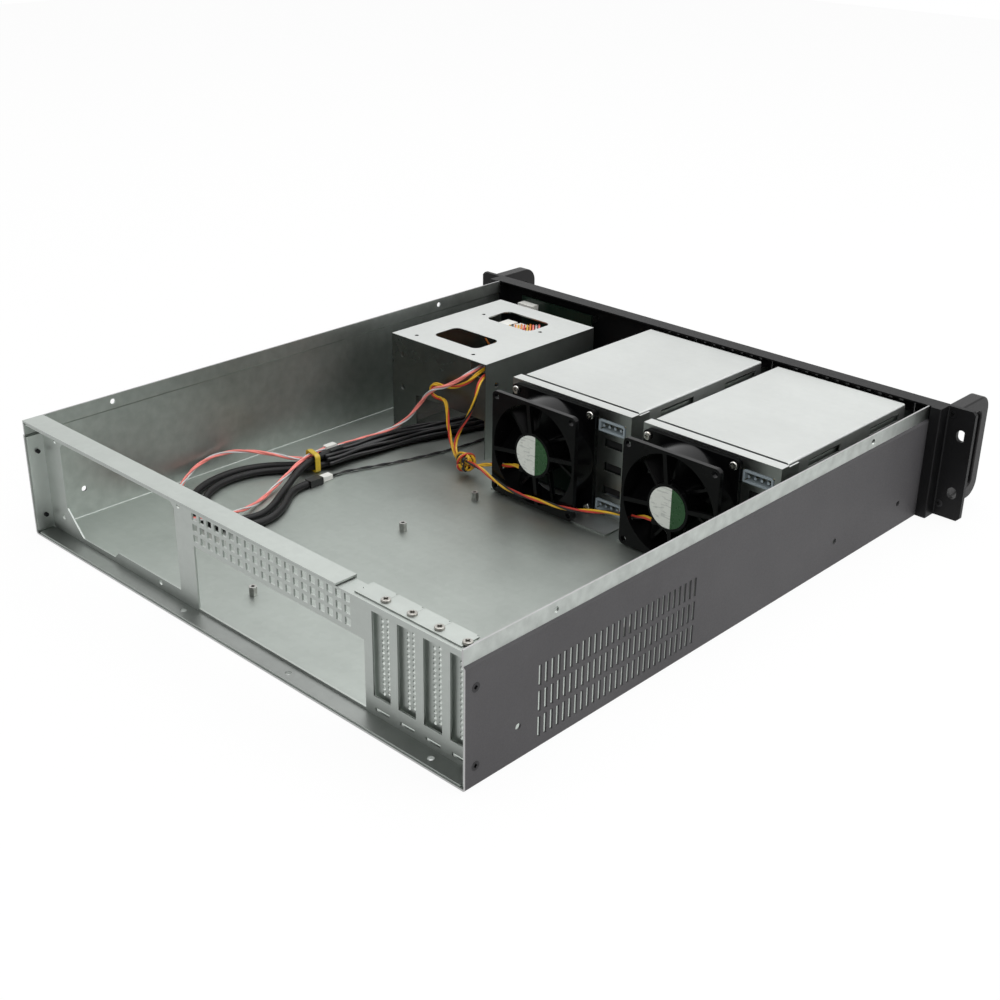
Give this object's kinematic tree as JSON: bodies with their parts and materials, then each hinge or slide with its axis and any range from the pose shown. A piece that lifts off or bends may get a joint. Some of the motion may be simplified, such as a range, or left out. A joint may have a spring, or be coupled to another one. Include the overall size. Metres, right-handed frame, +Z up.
{
  "type": "empty rackmount server case",
  "caption": "Two-unit rack case with its cover off: folded steel tray, rear panel with slot covers, two fans before drive cages with sliding trays, a fixed drive cage, ears and handles.",
  "frame": {"origin": "centre of the overall footprint, at the underside of the tray", "axes": "+X to the viewer's right when facing the front, -Y out of the front, +Z up"},
  "size_m": [0.4826, 0.5236, 0.0863],
  "materials": {
    "painted_steel": "fine-textured charcoal powder coat outside, bare zinc-coated inside",
    "painted_aluminium": "satin black",
    "galvanised_steel": "matt zinc coating with faint spangle",
    "tray_finish": "bare steel tray with a satin black moulded front",
    "black_screws": "black oxide",
    "bright_screws": "nickel plated",
    "nickel_brass": "nickel plated",
    "black_plastic": "satin moulded",
    "white_plastic": "ivory moulded",
    "clear_plastic": "milky clear",
    "orange_plastic": "thin nylon",
    "label_film": "white and green film",
    "circuit_board": "dark green solder mask",
    "bright_steel": "tinned",
    "black_sleeve": "woven black sleeve",
    "pink_wire": "soft insulation",
    "yellow_wire": "soft insulation"
  },
  "bodies": {
    "case": {"chassis_tray": "painted_steel", "front_panel": "painted_steel", "left_ear": "painted_steel", "right_ear": "painted_steel", "left_handle": "painted_aluminium", "right_handle": "painted_aluminium", "handle_screws": "black_screws", "ear_screws": "bright_screws", "panel_side_screws": "black_screws", "slot_screws": "bright_screws", "fan_screws": "bright_screws", "rear_panel": "galvanised_steel", "rear_beam": "galvanised_steel", "slot_covers": "galvanised_steel", "fixed_drive_cage": "galvanised_steel", "drive_cage_centre": "galvanised_steel", "drive_cage_left": "galvanised_steel", "tray_rails_centre": "galvanised_steel", "tray_rails_left": "galvanised_steel", "fan_bracket_centre": "galvanised_steel", "fan_bracket_left": "galvanised_steel", "board_standoffs": "nickel_brass", "fan_frame_centre": "black_plastic", "fan_frame_left": "black_plastic", "fan_labels": "label_film", "backplane_centre": "circuit_board", "backplane_left": "circuit_board", "control_board": "circuit_board", "power_sockets": "white_plastic", "data_ports": "black_plastic", "board_parts": "white_plastic", "board_spacers": "nickel_brass", "usb_ports": "bright_steel", "status_lights": "clear_plastic", "harness_outer": "black_sleeve", "harness_inner": "black_sleeve", "signal_lead": "black_sleeve", "stowed_leads": "black_sleeve", "pink_lead": "pink_wire", "fan_lead_left": "yellow_wire", "fan_lead_centre": "yellow_wire", "black_plugs": "black_plastic", "white_plugs": "white_plastic", "cable_ties": "orange_plastic"},
    "rotor_centre": {"fan_rotor_centre": "black_plastic"},
    "rotor_left": {"fan_rotor_left": "black_plastic"},
    "power_push": {"power_button": "black_plastic"},
    "reset_push": {"reset_button": "black_plastic"},
    "drive_tray_centre_1": {"tray_centre_1": "tray_finish"},
    "lever_centre_1": {"tray_lever_centre_1": "black_plastic"},
    "drive_tray_centre_2": {"tray_centre_2": "tray_finish"},
    "lever_centre_2": {"tray_lever_centre_2": "black_plastic"},
    "drive_tray_centre_3": {"tray_centre_3": "tray_finish"},
    "lever_centre_3": {"tray_lever_centre_3": "black_plastic"},
    "drive_tray_left_1": {"tray_left_1": "tray_finish"},
    "lever_left_1": {"tray_lever_left_1": "black_plastic"},
    "drive_tray_left_2": {"tray_left_2": "tray_finish"},
    "lever_left_2": {"tray_lever_left_2": "black_plastic"},
    "drive_tray_left_3": {"tray_left_3": "tray_finish"},
    "lever_left_3": {"tray_lever_left_3": "black_plastic"}
  },
  "joints": [
    {"name": "fan_spin_centre", "type": "hinge", "parent": "case", "child": "rotor_centre", "pos_m": [-0.0054, -0.02825, 0.0424], "axis": [0, 1, 0], "continuous": true},
    {"name": "fan_spin_left", "type": "hinge", "parent": "case", "child": "rotor_left", "pos_m": [-0.1284, -0.02825, 0.0424], "axis": [0, 1, 0], "continuous": true},
    {"name": "tray_slide_centre_1", "type": "slide", "parent": "case", "child": "drive_tray_centre_1", "axis": [0, -1, 0], "range_m": [0, 0.14]},
    {"name": "lever_swing_centre_1", "type": "hinge", "parent": "drive_tray_centre_1", "child": "lever_centre_1", "pos_m": [-0.0632, -0.22665, 0.0157], "axis": [0, 0, -1], "range_deg": [0, 75]},
    {"name": "tray_slide_centre_2", "type": "slide", "parent": "case", "child": "drive_tray_centre_2", "axis": [0, -1, 0], "range_m": [0, 0.14]},
    {"name": "lever_swing_centre_2", "type": "hinge", "parent": "drive_tray_centre_2", "child": "lever_centre_2", "pos_m": [-0.0632, -0.22665, 0.0423], "axis": [0, 0, -1], "range_deg": [0, 75]},
    {"name": "tray_slide_centre_3", "type": "slide", "parent": "case", "child": "drive_tray_centre_3", "axis": [0, -1, 0], "range_m": [0, 0.14]},
    {"name": "lever_swing_centre_3", "type": "hinge", "parent": "drive_tray_centre_3", "child": "lever_centre_3", "pos_m": [-0.0632, -0.22665, 0.0689], "axis": [0, 0, -1], "range_deg": [0, 75]},
    {"name": "tray_slide_left_1", "type": "slide", "parent": "case", "child": "drive_tray_left_1", "axis": [0, -1, 0], "range_m": [0, 0.14]},
    {"name": "lever_swing_left_1", "type": "hinge", "parent": "drive_tray_left_1", "child": "lever_left_1", "pos_m": [-0.1862, -0.22665, 0.0157], "axis": [0, 0, -1], "range_deg": [0, 75]},
    {"name": "tray_slide_left_2", "type": "slide", "parent": "case", "child": "drive_tray_left_2", "axis": [0, -1, 0], "range_m": [0, 0.14]},
    {"name": "lever_swing_left_2", "type": "hinge", "parent": "drive_tray_left_2", "child": "lever_left_2", "pos_m": [-0.1862, -0.22665, 0.0423], "axis": [0, 0, -1], "range_deg": [0, 75]},
    {"name": "tray_slide_left_3", "type": "slide", "parent": "case", "child": "drive_tray_left_3", "axis": [0, -1, 0], "range_m": [0, 0.14]},
    {"name": "lever_swing_left_3", "type": "hinge", "parent": "drive_tray_left_3", "child": "lever_left_3", "pos_m": [-0.1862, -0.22665, 0.0689], "axis": [0, 0, -1], "range_deg": [0, 75]},
    {"name": "power_press", "type": "slide", "parent": "case", "child": "power_push", "axis": [0, 1, 0], "range_m": [0, 0.0015], "stiffness_N_per_m": 400, "springref_m": -0.0005},
    {"name": "reset_press", "type": "slide", "parent": "case", "child": "reset_push", "axis": [0, 1, 0], "range_m": [0, 0.0015], "stiffness_N_per_m": 400, "springref_m": -0.0005}
  ]
}
